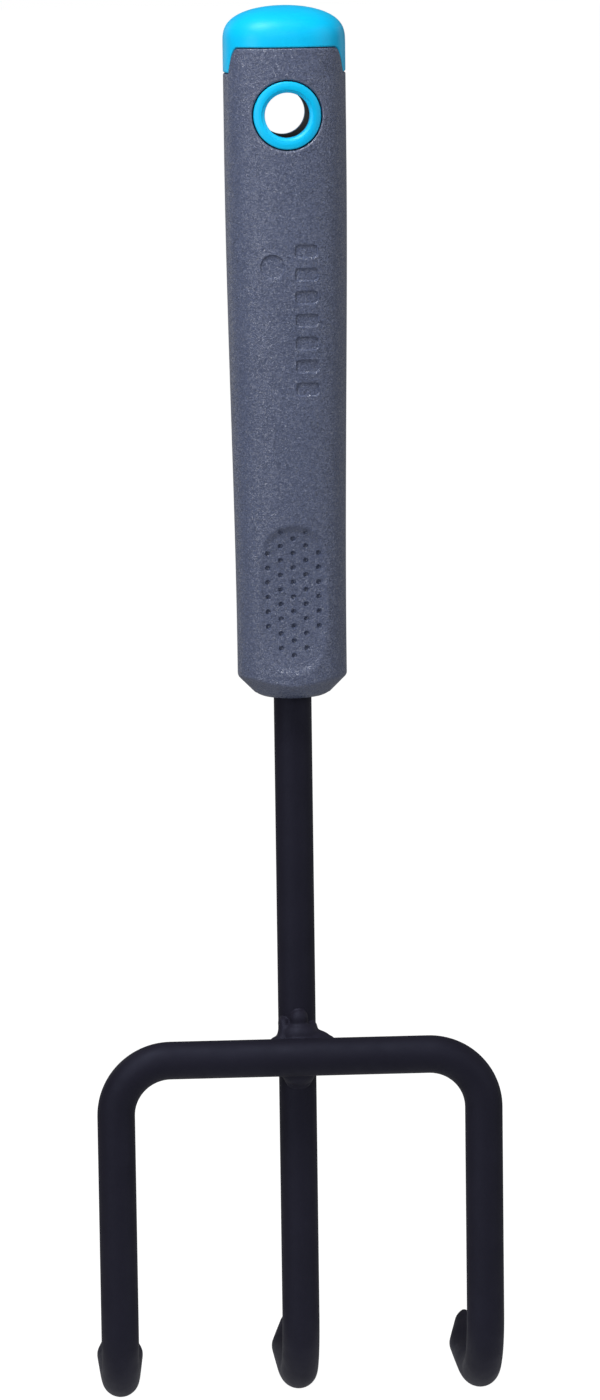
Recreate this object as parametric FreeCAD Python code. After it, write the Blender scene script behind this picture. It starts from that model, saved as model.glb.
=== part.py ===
"""Three-tine hand cultivator: a steel fork in a two-colour moulded handle.

Millimetres. The origin is the centre of the hang hole. +Z runs along the tool towards the butt cap,
-Y is the front face with the thumb rest, and the tine tips point to +Y.
Each sub-part is one STEP file in parts/, named after its node.
"""
import FreeCAD, Part
import math
import os
from FreeCAD import Vector

# ---------------------------------------------------------------- driving dimensions
HANDLE_LENGTH = 148.4
HOLE_BELOW_TOP = 23.0          # hang-hole centre below the top of the butt cap
SHAFT_SHOWN = 78.6             # handle's lower end to the crossbar's centreline
TINE_DROP = 74.5               # crossbar's centreline down to the lowest centreline of an outer tine
MIDDLE_TINE_EXTRA = 1.5        # the middle tine reaches this much lower
TINE_SPAN = 80.2               # centre to centre of the outer tines
ROD_R = 4.1                    # 8 mm rod and its coating
ROOT_GAP = 0.05                # hairline between the crossed rods, bridged by the weld
CORNER_R = 12.0                # centreline radius where the crossbar turns into a tine
HOOK_R = 16.0                  # centreline radius of a tine's hook
HOOK_DEG = 99.0                # a hook turns through this angle, so its tip rises a little
TOE_IN_DEG = 1.1               # the outer tips lean this much towards the middle one
TANG_LENGTH = 80.0             # rod inside the handle
TANG_POINT_R, TANG_POINT_LENGTH = 2.8, 3.2
CRIMPS_BELOW_TANG_TOP = (14, 34)            # flats squeezed in the tang so that it can't pull out or turn
CRIMP_HEIGHT, CRIMP_HALF_WIDTH, CRIMP_HALF_DEPTH, CRIMP_CHAMFER = 9.0, 5.6, 2.7, 0.8

# flattened spear tip: distance along the tip, half width, half thickness
TIP_STATIONS = (
    (0.0, 4.1, 4.1),
    (5.0, 4.55, 3.2),
    (10.5, 5.15, 2.2),
    (16.0, 4.1, 1.85),
    (21.5, 2.85, 1.55),
    (25.5, 1.75, 1.2),
    (27.3, 0.8, 0.75),
    (27.9, 0.3, 0.3),
)

# weld beads as ellipsoids: centre from the point where the rods cross, and half sizes
WELD_TOP_AT, WELD_TOP_HALF = (1.2, 4.4, 3.4), (7.2, 4.0, 3.4)
WELD_STOP_AT, WELD_STOP_HALF = (0.2, 4.2, 7.6), (2.1, 1.7, 2.4)
WELD_LOW_AT, WELD_LOW_HALF = (0.0, 4.4, -3.6), (5.0, 4.2, 3.9)

# handle section: a superellipse whose half sizes grow smoothly from the lower end to the butt
SECTION_POWER = 2.5
LOWER_HALF_WIDTH, UPPER_HALF_WIDTH = 11.8, 13.05
LOWER_HALF_DEPTH, UPPER_HALF_DEPTH = 10.4, 11.3
PALM_SWELL = 1.2               # extra depth at the back, under the palm
GROWTH_FROM, GROWTH_TO = -116.0, -8.0
SWELL_AT, SWELL_REACH = -55.0, 55.0
NOSE_R = 7.4                   # flat lower end, with a 45 degree bevel round it
DOME_HEIGHT = 8.0              # rounded butt
DOME_POWER = 3.0

GRIP_WALL = 2.4                # soft sleeve over the rigid core
KEY_GROOVES_AT = (-105, -80, -32, -17)      # grooves round the core that lock the sleeve
KEY_GROOVE_HEIGHT, KEY_GROOVE_DEPTH = 3.0, 0.9
SEAM_BELOW_TOP = 8.7           # sleeve's top edge at the front and back
TONGUE_DROP = 5.4              # the cap's side tongues hang this far below the seam
TONGUE_HALF_TOP, TONGUE_HALF_BOTTOM = 7.1, 5.2
SEAM_GAP = 0.1
CAP_WALL, CAP_SIDE_WALL = 2.2, 3.2
PLUG_HALF_X, PLUG_HALF_Y, PLUG_DEPTH = 6.5, 5.0, 5.2
PLUG_FIT = 0.08
PLUG_WALL, PLUG_ROOF, PLUG_CORNER_R = 1.5, 2.0, 2.0
PLUG_BEAD, BEAD_RISE, BEAD_HEIGHT = 0.35, 0.8, 1.0

HOLE_R = 4.8
RING_R = 7.2
RING_GAP = 0.15
SPIGOT_R, SPIGOT_DEPTH = 6.0, 1.5   # each ring plugs this far into the core
SPIGOT_FIT = 0.05
LIP_R = 0.8                    # rounding at both mouths of the hang hole

RECESS_WIDTH, RECESS_LENGTH = 14.6, 31.6
RECESS_DEPTH, RECESS_END_DEPTH = 1.6, 0.5   # scooped: deepest half way, shallower at both ends
RECESS_CENTRE_Z = -103.6
DIMPLE_PITCH = 3.16
DIMPLE_BALL_R, DIMPLE_LIFT = 0.56, 0.1      # each hollow is cut by a ball centred just off the floor
DIMPLE_RISE = 0.6              # the dimples' middle row sits this far above the recess's centre
DIMPLE_COLUMNS = ((-2, -2, 3), (-1, -4, 4), (0, -4, 4), (1, -4, 4), (2, -2, 3))

MARK_DEPTH = 0.35              # plain raised-bar pattern sunk in the front of the sleeve
BAR_COUNT, BAR_PITCH = 7, 4.9
BAR_WIDTH, BAR_HEIGHT, BAR_CORNER_R, BAR_X = 4.8, 2.7, 0.8, 3.6
BARS_CENTRE_Z = -43.5
DOT_R, DOT_X, DOT_Z = 2.5, -3.6, -32.0

# ---------------------------------------------------------------- derived places
Z_TOP = HOLE_BELOW_TOP
Z_BOTTOM = Z_TOP - HANDLE_LENGTH
Z_SEAM = Z_TOP - SEAM_BELOW_TOP
Z_CROSS = Z_BOTTOM - SHAFT_SHOWN
Y_CROSS = -(2 * ROD_R + ROOT_GAP)
Z_TANG_TOP = Z_BOTTOM + TANG_LENGTH
FAR = 60.0                     # longer than any section is wide
BEYOND = 5.0                   # cutters reach this far past what they cut
TINY = 1e-6                    # lengths closer than this are the same
SECTION_POINTS = 32
BEVEL_TOP = Z_BOTTOM + 6       # the bevel round the lower end is over below this height
WALL_HEIGHTS = (Z_BOTTOM - 1, BEVEL_TOP, -110, -97, -85, -70, -55, -40, -20, 0, Z_TOP - DOME_HEIGHT)
DOME_DEGREES = (15, 30, 45, 58, 70, 79, 86)
X, Y, Z = Vector(1, 0, 0), Vector(0, 1, 0), Vector(0, 0, 1)


def smooth_step(t):
    t = min(1.0, max(0.0, t))
    return t * t * (3 - 2 * t)


def growth(z):
    """0 at the slim lower end of the handle, 1 at the butt."""
    return smooth_step((z - GROWTH_FROM) / (GROWTH_TO - GROWTH_FROM))


def half_width(z):
    return LOWER_HALF_WIDTH + (UPPER_HALF_WIDTH - LOWER_HALF_WIDTH) * growth(z)


def front_depth(z):
    return LOWER_HALF_DEPTH + (UPPER_HALF_DEPTH - LOWER_HALF_DEPTH) * growth(z)


def back_depth(z):
    swell = PALM_SWELL * (1 - smooth_step(abs(z - SWELL_AT) / SWELL_REACH))
    return front_depth(z) + swell


def signed_power(v, power):
    return math.copysign(abs(v) ** power, v)


def superellipse(z, hw, front, back):
    """Closed smooth section at height z; front and back are its reach from the rod's axis."""
    centre, hd = (back - front) / 2, (back + front) / 2
    points = []
    for i in range(SECTION_POINTS):
        a = 2 * math.pi * (i + 0.5) / SECTION_POINTS
        x = hw * signed_power(math.cos(a), 2 / SECTION_POWER)
        y = centre + hd * signed_power(math.sin(a), 2 / SECTION_POWER)
        points.append(Vector(x, y, z))
    curve = Part.BSplineCurve()
    curve.interpolate(points, PeriodicFlag=True)
    return Part.Wire(curve.toShape())


def bevel_region(inset):
    """Space inside the 45 degree bevel of the handle's lower end, with its faces moved in by inset."""
    low = Z_BOTTOM + inset
    low_r = NOSE_R + inset - inset * math.sqrt(2)
    height = FAR / 2
    cone = Part.makeCone(low_r, low_r + height, height, Vector(0, 0, low), Z)
    above = Part.makeCylinder(low_r + height, HANDLE_LENGTH, Vector(0, 0, low + height), Z)
    return cone.fuse(above)


def handle_envelope(inset=0.0):
    """The handle's outer form, or the same form with every face moved in by inset."""
    shoulder = Z_TOP - DOME_HEIGHT
    walls = []
    for z in WALL_HEIGHTS:
        walls.append(superellipse(z, half_width(z) - inset, front_depth(z) - inset, back_depth(z) - inset))
    dome = [walls[-1]]
    dome_height = DOME_HEIGHT - inset
    for degrees in DOME_DEGREES:
        phi = math.radians(degrees)
        z = shoulder + dome_height * math.sin(phi) ** (2 / DOME_POWER)
        hw = (UPPER_HALF_WIDTH - inset) * math.cos(phi)
        hd = (UPPER_HALF_DEPTH - inset) * math.cos(phi)
        dome.append(superellipse(z, hw, hd, hd))
    body = Part.makeLoft(walls, True, False).common(bevel_region(inset))
    return body.fuse(Part.makeLoft(dome, True, False))


def box(x0, x1, y0, y1, z0, z1):
    return Part.makeBox(x1 - x0, y1 - y0, z1 - z0, Vector(x0, y0, z0))


def tube_along_y(radius, y0, y1, x=0.0, z=0.0):
    return Part.makeCylinder(radius, y1 - y0, Vector(x, y0, z), Y)


# ---------------------------------------------------------------- steel fork
def spear_tip(start, along, across):
    """Flattened tip growing out of a round rod at start, pointing along; across is its width direction."""
    normal = along.cross(across)
    wires = []
    for distance, half_w, half_t in TIP_STATIONS:
        centre = start + along * distance
        w, n = across * half_w, normal * half_t
        place = FreeCAD.Matrix(w.x, n.x, along.x, centre.x, w.y, n.y, along.y, centre.y,
                               w.z, n.z, along.z, centre.z, 0, 0, 0, 1)
        wires.append(Part.Wire(Part.makeCircle(1.0).transformGeometry(place).Edges))
    return Part.makeLoft(wires, True, False)


def hooked_tine(x, y, z_start, z_low, toe_in=0.0):
    """Straight tine, hook to the back and spear tip; z_low is the hook's lowest centreline."""
    z_bend = z_low + HOOK_R
    turn = math.radians(HOOK_DEG)
    straight = Part.makeCylinder(ROD_R, z_start - z_bend, Vector(x, y, z_bend), Z)
    disc = Part.Face(Part.Wire(Part.makeCircle(ROD_R, Vector(x, y, z_bend), Z)))
    hook = disc.revolve(Vector(x, y + HOOK_R, z_bend), X, HOOK_DEG)
    end = Vector(x, y + HOOK_R - HOOK_R * math.cos(turn), z_bend - HOOK_R * math.sin(turn))
    along = Vector(0, math.sin(turn), -math.cos(turn))
    bent = [hook, spear_tip(end, along, X)]
    for piece in bent:
        piece.rotate(Vector(x, y, 0), Z, toe_in)
    return [straight] + bent


def centre_rod():
    """Shaft and middle tine in one bent rod, with a crimped tang inside the handle."""
    z_low = Z_CROSS - TINE_DROP - MIDDLE_TINE_EXTRA
    pieces = hooked_tine(0, 0, Z_TANG_TOP, z_low)
    rod = pieces[0].fuse(pieces[1:]).removeSplitter()
    for below in CRIMPS_BELOW_TANG_TOP:
        low = Z_TANG_TOP - below - CRIMP_HEIGHT / 2
        high = low + CRIMP_HEIGHT
        for side in (-1, 1):
            rod = rod.cut(box(-FAR, FAR, *along_side(side, CRIMP_HALF_DEPTH, FAR), low, high))
        ears = box(-CRIMP_HALF_WIDTH, CRIMP_HALF_WIDTH, -CRIMP_HALF_DEPTH, CRIMP_HALF_DEPTH, low, high)
        long_edges = [e for e in ears.Edges if e.Length > CRIMP_HEIGHT - 1]
        rod = rod.fuse(ears.makeChamfer(CRIMP_CHAMFER, long_edges))
    point_from = Z_TANG_TOP - TANG_POINT_LENGTH
    point = Part.makeCone(ROD_R, TANG_POINT_R, TANG_POINT_LENGTH, Vector(0, 0, point_from), Z)
    above = box(-FAR, FAR, -FAR, FAR, point_from, Z_TANG_TOP + BEYOND).cut(point)
    return rod.cut(above).removeSplitter()


def outer_rod():
    """Crossbar and both outer tines, bent from one rod that crosses in front of the shaft."""
    half = TINE_SPAN / 2
    straight_end = half - CORNER_R
    pieces = [Part.makeCylinder(ROD_R, 2 * straight_end, Vector(-straight_end, Y_CROSS, Z_CROSS), X)]
    z_low = Z_CROSS - TINE_DROP
    for side in (-1, 1):
        disc = Part.Face(Part.Wire(Part.makeCircle(ROD_R, Vector(side * straight_end, Y_CROSS, Z_CROSS), X)))
        centre = Vector(side * straight_end, Y_CROSS, Z_CROSS - CORNER_R)
        pieces.append(disc.revolve(centre, Y, side * 90))
        pieces += hooked_tine(side * half, Y_CROSS, Z_CROSS - CORNER_R, z_low, side * TOE_IN_DEG)
    return pieces[0].fuse(pieces[1:]).removeSplitter()


def ellipsoid(offset, half_sizes):
    """Ellipsoid whose centre is offset from the crossbar's centreline above the shaft."""
    stretch = FreeCAD.Matrix()
    stretch.scale(*half_sizes)
    stretch.move(Vector(0, Y_CROSS, Z_CROSS) + Vector(*offset))
    return Part.makeSphere(1.0).transformGeometry(stretch)


def weld_upper(rods):
    """Fillet weld on top of the crossbar, with the nub of its stop on the shaft."""
    bead = ellipsoid(WELD_TOP_AT, WELD_TOP_HALF)
    return bead.fuse(ellipsoid(WELD_STOP_AT, WELD_STOP_HALF)).cut(rods)


def weld_lower(rods):
    """Short bead under the crossbar, on the front of the middle tine."""
    return ellipsoid(WELD_LOW_AT, WELD_LOW_HALF).cut(rods)


# ---------------------------------------------------------------- handle
def cap_region(gap=0.0):
    """Everything above the seam: a prism along X whose lower outline hangs a tongue on each side."""
    low, seam = Z_SEAM - TONGUE_DROP - gap, Z_SEAM - gap
    bottom, top = TONGUE_HALF_BOTTOM + gap, TONGUE_HALF_TOP + gap
    above = Z_TOP + BEYOND
    outline = [(-FAR, above), (-FAR, seam), (-top, seam), (-bottom, low),
               (bottom, low), (top, seam), (FAR, seam), (FAR, above)]
    points = [Vector(-FAR, y, z) for y, z in outline]
    return Part.Face(Part.makePolygon(points + points[:1])).extrude(X * (2 * FAR))


def plug(grow=0.0):
    """Snap plug under the cap, with a bead round its lower end; grow makes the matching socket."""
    hx, hy = PLUG_HALF_X + grow, PLUG_HALF_Y + grow
    z0, z1 = Z_SEAM - PLUG_DEPTH - grow, Z_SEAM
    stem = box(-hx, hx, -hy, hy, z0, z1)
    stem = stem.makeFillet(PLUG_CORNER_R, [e for e in stem.Edges if abs(e.Length - (z1 - z0)) < TINY])
    bx, by, low = hx + PLUG_BEAD, hy + PLUG_BEAD, z0 + BEAD_RISE
    bead = box(-bx, bx, -by, by, low, low + BEAD_HEIGHT)
    bead = bead.makeFillet(PLUG_CORNER_R, [e for e in bead.Edges if abs(e.Length - BEAD_HEIGHT) < TINY])
    return stem.fuse(bead).removeSplitter()


def keyed_core(inner):
    """Rigid core blank: the inner form below the seam, with grooves that key the sleeve."""
    core = inner.cut(box(-FAR, FAR, -FAR, FAR, Z_SEAM, Z_TOP + BEYOND))
    deeper = handle_envelope(GRIP_WALL + KEY_GROOVE_DEPTH)
    for z in KEY_GROOVES_AT:
        band = box(-FAR, FAR, -FAR, FAR, z - KEY_GROOVE_HEIGHT / 2, z + KEY_GROOVE_HEIGHT / 2)
        core = core.cut(band.cut(deeper))
    return core


def end_cap(envelope, inner):
    shell = envelope.common(cap_region()).cut(inner.common(box(-FAR, FAR, -FAR, FAR, -FAR, Z_SEAM)))
    cavity = handle_envelope(CAP_SIDE_WALL).common(box(-FAR, FAR, -FAR, FAR, Z_SEAM, Z_TOP))
    shell = shell.cut(cavity)
    under_roof = Z_TOP - CAP_WALL
    inside_x, inside_y = PLUG_HALF_X - PLUG_WALL, PLUG_HALF_Y - PLUG_WALL
    hollow_from, hollow_to = Z_SEAM - PLUG_DEPTH - BEYOND, under_roof - PLUG_ROOF
    hollow = box(-inside_x, inside_x, -inside_y, inside_y, hollow_from, hollow_to)
    stem = plug().fuse(box(-PLUG_HALF_X, PLUG_HALF_X, -PLUG_HALF_Y, PLUG_HALF_Y, Z_SEAM, under_roof))
    return shell.fuse(stem.common(envelope).cut(hollow)).removeSplitter()


def mouth(side):
    """Cutter that rounds the hang hole's mouth on one side."""
    face_y = front_depth(0) if side < 0 else back_depth(0)
    cutter = tube_along_y(HOLE_R + LIP_R, 0, LIP_R + BEYOND)
    cutter = cutter.cut(Part.makeTorus(HOLE_R + LIP_R, LIP_R, Vector(0, 0, 0), Y))
    cutter.translate(Vector(0, face_y - LIP_R, 0))
    if side < 0:
        cutter = cutter.mirror(Vector(0, 0, 0), Y)
    return cutter


def along_side(side, near, far):
    """Start and end along Y, in rising order, of something that reaches from near to far on one side."""
    return (near, far) if side > 0 else (-far, -near)


def spigot(side, grow=0.0):
    """Ring's stem in the core; grow makes the counterbore that takes it."""
    face_y = front_depth(0) if side < 0 else back_depth(0)
    root = face_y - GRIP_WALL - SPIGOT_DEPTH
    return tube_along_y(SPIGOT_R + grow, *along_side(side, root, face_y - GRIP_WALL / 2))


def hang_ring(envelope, inner, side):
    """Ring in one mouth of the hang hole: a flange flush with the sleeve, and a spigot in the core."""
    flange = tube_along_y(RING_R, *along_side(side, 0, FAR)).common(envelope).cut(inner)
    ring = flange.fuse(spigot(side)).common(envelope)
    return ring.cut(tube_along_y(HOLE_R, -FAR, FAR)).cut(mouth(side)).removeSplitter()


def stadium(width, length, z_centre, y0, y1):
    """Upright slot outline with round ends, as a prism along Y."""
    r = width / 2
    half = length / 2 - r
    slot = box(-r, r, y0, y1, z_centre - half, z_centre + half)
    for end in (-half, half):
        slot = slot.fuse(tube_along_y(r, y0, y1, 0, z_centre + end))
    return slot.removeSplitter()


SCOOP_SAG = RECESS_DEPTH - RECESS_END_DEPTH
SCOOP_R = ((RECESS_LENGTH / 2) ** 2 + SCOOP_SAG ** 2) / (2 * SCOOP_SAG)


def recess_floor(z):
    """Y of the thumb rest's floor at height z."""
    fall = SCOOP_R - math.sqrt(SCOOP_R ** 2 - (z - RECESS_CENTRE_Z) ** 2)
    return -(front_depth(RECESS_CENTRE_Z) - RECESS_DEPTH) - fall


def thumb_rest():
    """Scooped recess in the convex front, so its sides fade out while both ends step down."""
    deepest = recess_floor(RECESS_CENTRE_Z)
    slot = stadium(RECESS_WIDTH, RECESS_LENGTH, RECESS_CENTRE_Z, -FAR, deepest)
    scoop = Part.makeCylinder(SCOOP_R, 2 * FAR, Vector(-FAR, deepest - SCOOP_R, RECESS_CENTRE_Z), X)
    return slot.common(scoop)


def dimples():
    """Hexagonal field of small hollows in the floor of the thumb rest."""
    step_x = DIMPLE_PITCH * math.sqrt(3) / 2
    balls = []
    for column, first, last in DIMPLE_COLUMNS:
        rise = DIMPLE_RISE + (DIMPLE_PITCH / 2 if column % 2 else 0.0)
        for row in range(first, last + 1):
            z = RECESS_CENTRE_Z + row * DIMPLE_PITCH + rise
            centre = Vector(column * step_x, recess_floor(z) - DIMPLE_LIFT, z)
            balls.append(Part.makeSphere(DIMPLE_BALL_R, centre))
    return balls


def sunk_marks(envelope):
    """Plain bars and a dot, sunk to an even depth in the curved front."""
    skin = envelope.cut(handle_envelope(MARK_DEPTH))
    marks = [tube_along_y(DOT_R, -FAR, 0, DOT_X, DOT_Z)]
    first = BARS_CENTRE_Z - BAR_PITCH * (BAR_COUNT - 1) / 2
    for i in range(BAR_COUNT):
        z = first + i * BAR_PITCH
        left, right = BAR_X - BAR_WIDTH / 2, BAR_X + BAR_WIDTH / 2
        bar = box(left, right, -FAR, 0, z - BAR_HEIGHT / 2, z + BAR_HEIGHT / 2)
        marks.append(bar.makeFillet(BAR_CORNER_R, [e for e in bar.Edges if e.Length > FAR - 1]))
    return [m.common(skin) for m in marks]


def grip_sleeve(envelope, core, rod):
    sleeve = envelope.cut(core).cut(cap_region(SEAM_GAP))
    sleeve = sleeve.cut(tube_along_y(RING_R + RING_GAP, -FAR, FAR))
    sleeve = sleeve.cut(rod)
    sleeve = sleeve.cut(thumb_rest())
    sleeve = sleeve.cut(dimples())
    return sleeve.cut(sunk_marks(envelope))


def handle_core(blank, rod):
    """The blank with its openings: tang, cap plug, hang hole and the rings' counterbores."""
    core = blank.cut(rod).cut(plug(PLUG_FIT)).cut(tube_along_y(HOLE_R, -FAR, FAR))
    return core.cut([spigot(-1, SPIGOT_FIT), spigot(1, SPIGOT_FIT)])


def export(name, shape):
    """Writes one sub-part's STEP file; each sub-part is a single solid."""
    solid = shape.Solids[0]
    solid.exportStep(os.path.join("parts", name + ".step"))
    print(name, len(shape.Solids), "solids", round(solid.Volume, 1), "mm3", "valid", solid.isValid())


def main():
    os.makedirs("parts", exist_ok=True)
    rod = centre_rod()
    crossrod = outer_rod()
    rods = rod.fuse(crossrod)
    export("center_tine_rod", rod)
    export("outer_tine_rod", crossrod)
    export("weld_bead_upper", weld_upper(rods))
    export("weld_bead_lower", weld_lower(rods))

    envelope = handle_envelope()
    inner = handle_envelope(GRIP_WALL)
    blank = keyed_core(inner)
    export("handle_core", handle_core(blank, rod))
    export("end_cap", end_cap(envelope, inner))
    export("hang_ring_front", hang_ring(envelope, inner, -1))
    export("hang_ring_rear", hang_ring(envelope, inner, 1))
    export("grip_sleeve", grip_sleeve(envelope, blank, rod))


main()
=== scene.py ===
"""Looks for the three-tine hand cultivator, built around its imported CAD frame.

Metres, in the CAD frame: the origin is the centre of the hang hole, +Z points to the butt cap, -Y is the
front with the thumb rest and +Y is the way the tine tips point. Sizes in MM are turned to metres on use.
"""
import math

import bmesh
import bpy
import numpy as np
from mathutils import Matrix, Vector

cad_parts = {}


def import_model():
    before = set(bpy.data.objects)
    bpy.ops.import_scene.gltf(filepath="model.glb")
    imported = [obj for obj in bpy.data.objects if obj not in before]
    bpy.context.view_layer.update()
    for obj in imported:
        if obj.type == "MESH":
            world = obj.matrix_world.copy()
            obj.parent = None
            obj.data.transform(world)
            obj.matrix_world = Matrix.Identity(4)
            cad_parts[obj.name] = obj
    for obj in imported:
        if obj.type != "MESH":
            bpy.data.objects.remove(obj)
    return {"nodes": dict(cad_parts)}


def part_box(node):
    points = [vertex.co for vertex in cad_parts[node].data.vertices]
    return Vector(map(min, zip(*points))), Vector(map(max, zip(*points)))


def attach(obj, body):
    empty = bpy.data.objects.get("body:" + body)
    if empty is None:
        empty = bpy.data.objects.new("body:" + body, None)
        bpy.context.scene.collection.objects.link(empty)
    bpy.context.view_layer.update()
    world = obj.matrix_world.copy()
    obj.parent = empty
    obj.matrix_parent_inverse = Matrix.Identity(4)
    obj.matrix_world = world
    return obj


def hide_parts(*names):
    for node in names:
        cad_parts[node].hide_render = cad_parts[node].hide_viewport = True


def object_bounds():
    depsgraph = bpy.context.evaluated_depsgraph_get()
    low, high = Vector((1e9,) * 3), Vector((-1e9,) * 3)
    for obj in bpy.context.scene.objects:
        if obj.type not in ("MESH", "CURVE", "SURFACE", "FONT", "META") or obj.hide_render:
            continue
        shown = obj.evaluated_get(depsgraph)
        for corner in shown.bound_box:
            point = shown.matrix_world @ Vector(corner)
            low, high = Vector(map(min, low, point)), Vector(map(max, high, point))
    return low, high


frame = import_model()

CAD_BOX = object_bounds()
MM = 0.001


def low_mm(node):
    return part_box(node)[0] / MM


def high_mm(node):
    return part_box(node)[1] / MM


# ---------------------------------------------------------------- sizes, millimetres
SHAFT_LOW, SHAFT_HIGH = low_mm("center_tine_rod"), high_mm("center_tine_rod")
FORK_LOW, FORK_HIGH = low_mm("outer_tine_rod"), high_mm("outer_tine_rod")

Z_TOP, Z_BOTTOM = high_mm("end_cap").z, low_mm("grip_sleeve").z
ROD_R = 4.1
Z_TANG_TOP = SHAFT_HIGH.z
Z_CROSS = FORK_HIGH.z - ROD_R
Y_CROSS = FORK_LOW.y + ROD_R
TINE_SPAN = 80.2
CORNER_R = 12.0
HOOK_R, HOOK_DEG, TOE_IN_DEG = 16.0, 99.0, 1.1
Z_HOOK_OUTER = FORK_LOW.z + ROD_R
Z_HOOK_MIDDLE = SHAFT_LOW.z + ROD_R
LEAF_LENGTH, LEAF_WIDEST_AT, LEAF_HALF_WIDTH, LEAF_HALF_THICK = 27.9, 10.5, 5.2, 2.0
LEAF_FROM, LEAF_TAPER, LEAF_POINT = -6.0, 0.215, 4.5
LEAF_THINS_OVER, POINT_THINS_FROM, POINT_THINS_BY = 15.0, 12.0, 0.35
LEAF_ROWS = 45

SECTION_POWER = 2.5
UPPER_HALF_WIDTH, UPPER_HALF_DEPTH = 13.05, 11.3
LOWER_HALF_WIDTH, LOWER_HALF_DEPTH = 11.8, 10.4
PALM_SWELL, SWELL_AT, SWELL_REACH = 1.2, -55.0, 55.0
GROWTH_FROM, GROWTH_TO = -116.0, -8.0
NOSE_R, BEVEL_HEIGHT, BEVEL_EDGE = 7.4, 6.5, 0.5
MOUTH_GAP, MOUTH_ROUND = 0.12, 0.5                   # where the shaft enters the sleeve
DOME_HEIGHT, DOME_POWER = 8.0, 3.0
GRIP_WALL = 2.4
FAR = 20.0                                           # beyond the handle's faces

SEAM_BELOW_TOP, TONGUE_DROP = 8.7, 5.4
TONGUE_HALF_TOP, TONGUE_HALF_BOTTOM, TONGUE_CORNER = 7.1, 5.2, 2.6
SEAM_GAP, SEAM_ROUND = 0.16, 0.35

HOLE_R, RING_R, SPIGOT_R = 4.8, 7.2, 6.0
SPIGOT_END = -high_mm("hang_ring_front").y
RING_GAP, RING_EDGE = 0.26, 0.45

RECESS_WIDTH, RECESS_LENGTH, RECESS_CENTRE_Z = 14.6, 31.6, -103.6
RECESS_DEPTH, RECESS_END_DEPTH = 1.6, 0.5
RECESS_BORDER, RECESS_BORDER_INSIDE = 2.0, 1.2      # width of its soft edge, and how much lies inside
DIMPLE_PITCH, DIMPLE_R, DIMPLE_RISE = 3.16, 0.56, 0.6
DIMPLE_DEPTH_PER_R = 1.15
# each column of dimples: its number from the middle, its first row and its last
DIMPLE_COLUMNS = ((-2, -2, 3), (-1, -4, 4), (0, -4, 4), (1, -4, 4), (2, -2, 3))
MARK_DEPTH, MARK_BORDER, BAR_CORNER_R = 0.35, 0.24, 0.8
BAR_COUNT, BAR_PITCH, BAR_WIDTH, BAR_HEIGHT, BAR_X, BARS_CENTRE_Z = 7, 4.9, 4.8, 2.7, 3.6, -43.5
DOT_R, DOT_X, DOT_Z = 2.5, -3.6, -32.0

# spacing of the handle's mesh: fine where the detail is
FRONT_DETAIL_HALF_WIDTH, SIDE_FROM = 8.0, 8.2
COARSE_STEP, MIDDLE_STEP, FINE_STEP, TONGUE_STEP, CAP_STEP = 0.55, 0.25, 0.13, 0.14, 0.4


# ---------------------------------------------------------------- small mathematics
def smooth_step(t):
    t = np.clip(t, 0.0, 1.0)
    return t * t * (3 - 2 * t)


def smooth_min(a, b, k):
    """The smaller of a and b, with the corner between them rounded over about k."""
    h = np.clip(0.5 + 0.5 * (b - a) / k, 0.0, 1.0)
    return b * (1 - h) + a * h - k * h * (1 - h)


def smooth_max(a, b, k):
    return -smooth_min(-a, -b, k)


def signed_power(v, power):
    return np.sign(v) * np.abs(v) ** power


def growth(z):
    return smooth_step((z - GROWTH_FROM) / (GROWTH_TO - GROWTH_FROM))


def half_width(z):
    return LOWER_HALF_WIDTH + (UPPER_HALF_WIDTH - LOWER_HALF_WIDTH) * growth(z)


def front_depth(z):
    return LOWER_HALF_DEPTH + (UPPER_HALF_DEPTH - LOWER_HALF_DEPTH) * growth(z)


def back_depth(z):
    return front_depth(z) + PALM_SWELL * (1 - smooth_step(np.abs(z - SWELL_AT) / SWELL_REACH))


def section(angle, z, inset=0.0):
    """Point of the handle's section at height z, for an array of angles; -pi/2 is the front."""
    front, back = front_depth(z), back_depth(z)
    hw = half_width(z) - inset
    centre, hd = (back - front) / 2, (back + front) / 2 - inset
    x = hw * signed_power(np.cos(angle), 2 / SECTION_POWER)
    y = centre + hd * signed_power(np.sin(angle), 2 / SECTION_POWER)
    return x, y


def face_depth(x, z, side, inset=0.0):
    """Distance from the rod's axis to the handle's front (side -1) or back (side 1) face at x."""
    front, back = front_depth(z), back_depth(z)
    centre, hd = (back - front) / 2, (back + front) / 2 - inset
    reach = np.clip(1 - np.abs(x / (half_width(z) - inset)) ** SECTION_POWER, 0, 1) ** (1 / SECTION_POWER)
    return side * centre + hd * reach


# ---------------------------------------------------------------- mesh building
def add(name, data):
    """New object in the scene that holds this mesh, light or camera."""
    obj = bpy.data.objects.new(name, data)
    bpy.context.scene.collection.objects.link(obj)
    return obj


def make_object(name, verts, faces, sharp_deg=35.0):
    mesh = bpy.data.meshes.new(name)
    mesh.from_pydata((np.asarray(verts) * MM).tolist(), [], faces)
    mesh.validate()
    mesh.update()
    obj = add(name, mesh)
    fix_normals(obj, sharp_deg)
    return obj


def fix_normals(obj, sharp_deg=35.0):
    bm = bmesh.new()
    bm.from_mesh(obj.data)
    bmesh.ops.recalc_face_normals(bm, faces=bm.faces)
    bm.to_mesh(obj.data)
    bm.free()
    obj.data.shade_smooth()
    obj.data.set_sharp_from_angle(angle=math.radians(sharp_deg))


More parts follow.
